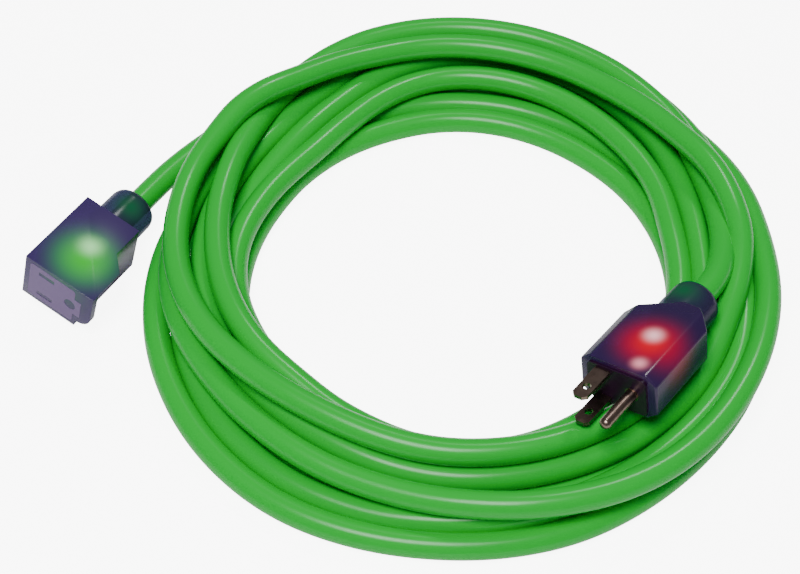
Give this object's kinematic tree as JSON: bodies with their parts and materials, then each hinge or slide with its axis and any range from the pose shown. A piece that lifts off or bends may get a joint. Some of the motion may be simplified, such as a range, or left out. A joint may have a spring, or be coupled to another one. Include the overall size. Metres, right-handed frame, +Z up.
{
  "type": "extension cord",
  "caption": "Three-wire extension cord coiled flat, with a lighted grounded plug lying on the coil and a lighted three-hole connector beside it.",
  "frame": {"origin": "centre of the bottom of the whole object's box, on the surface it lies on", "axes": "+Z up out of the coil; +X to the right across the coil, away from the connector; +Y to the back, away from the plug's blades"},
  "size_m": [0.303, 0.2627, 0.0495],
  "materials": {
    "black_insulation": "smooth",
    "brass_contact": "rolled",
    "clear_insert": "polished translucent insert",
    "copper_wire": "drawn copper",
    "cord_jacket": "smooth satin PVC jacket",
    "green_insulation": "smooth",
    "green_lamp": "clear, lit green",
    "red_lamp": "clear, lit red",
    "resistor_body": "smooth lacquer",
    "rose_insert": "polished insert",
    "violet_moulding": "polished translucent PVC",
    "white_insulation": "smooth"
  },
  "bodies": {
    "root": {"connector_cord_end": "cord_jacket", "connector_ground_contact": "brass_contact", "connector_ground_copper": "copper_wire", "connector_ground_insulation": "green_insulation", "connector_housing": "rose_insert", "connector_lamp": "green_lamp", "connector_lamp_lead": "copper_wire", "connector_line_contact": "brass_contact", "connector_line_copper": "copper_wire", "connector_line_insulation": "black_insulation", "connector_neutral_contact": "brass_contact", "connector_neutral_copper": "copper_wire", "connector_neutral_insulation": "white_insulation", "connector_overmold": "violet_moulding", "connector_resistor": "resistor_body", "connector_strain_relief": "violet_moulding", "cord_coil": "cord_jacket", "cord_connector_tail": "cord_jacket", "cord_plug_tail": "cord_jacket", "plug_bridge": "clear_insert", "plug_cord_end": "cord_jacket", "plug_ground_copper": "copper_wire", "plug_ground_insulation": "green_insulation", "plug_ground_pin": "brass_contact", "plug_lamp": "red_lamp", "plug_lamp_lead": "copper_wire", "plug_line_blade": "brass_contact", "plug_line_copper": "copper_wire", "plug_line_insulation": "black_insulation", "plug_neutral_blade": "brass_contact", "plug_neutral_copper": "copper_wire", "plug_neutral_insulation": "white_insulation", "plug_overmold": "violet_moulding", "plug_resistor": "resistor_body", "plug_strain_relief": "violet_moulding"}
  },
  "joints": []
}
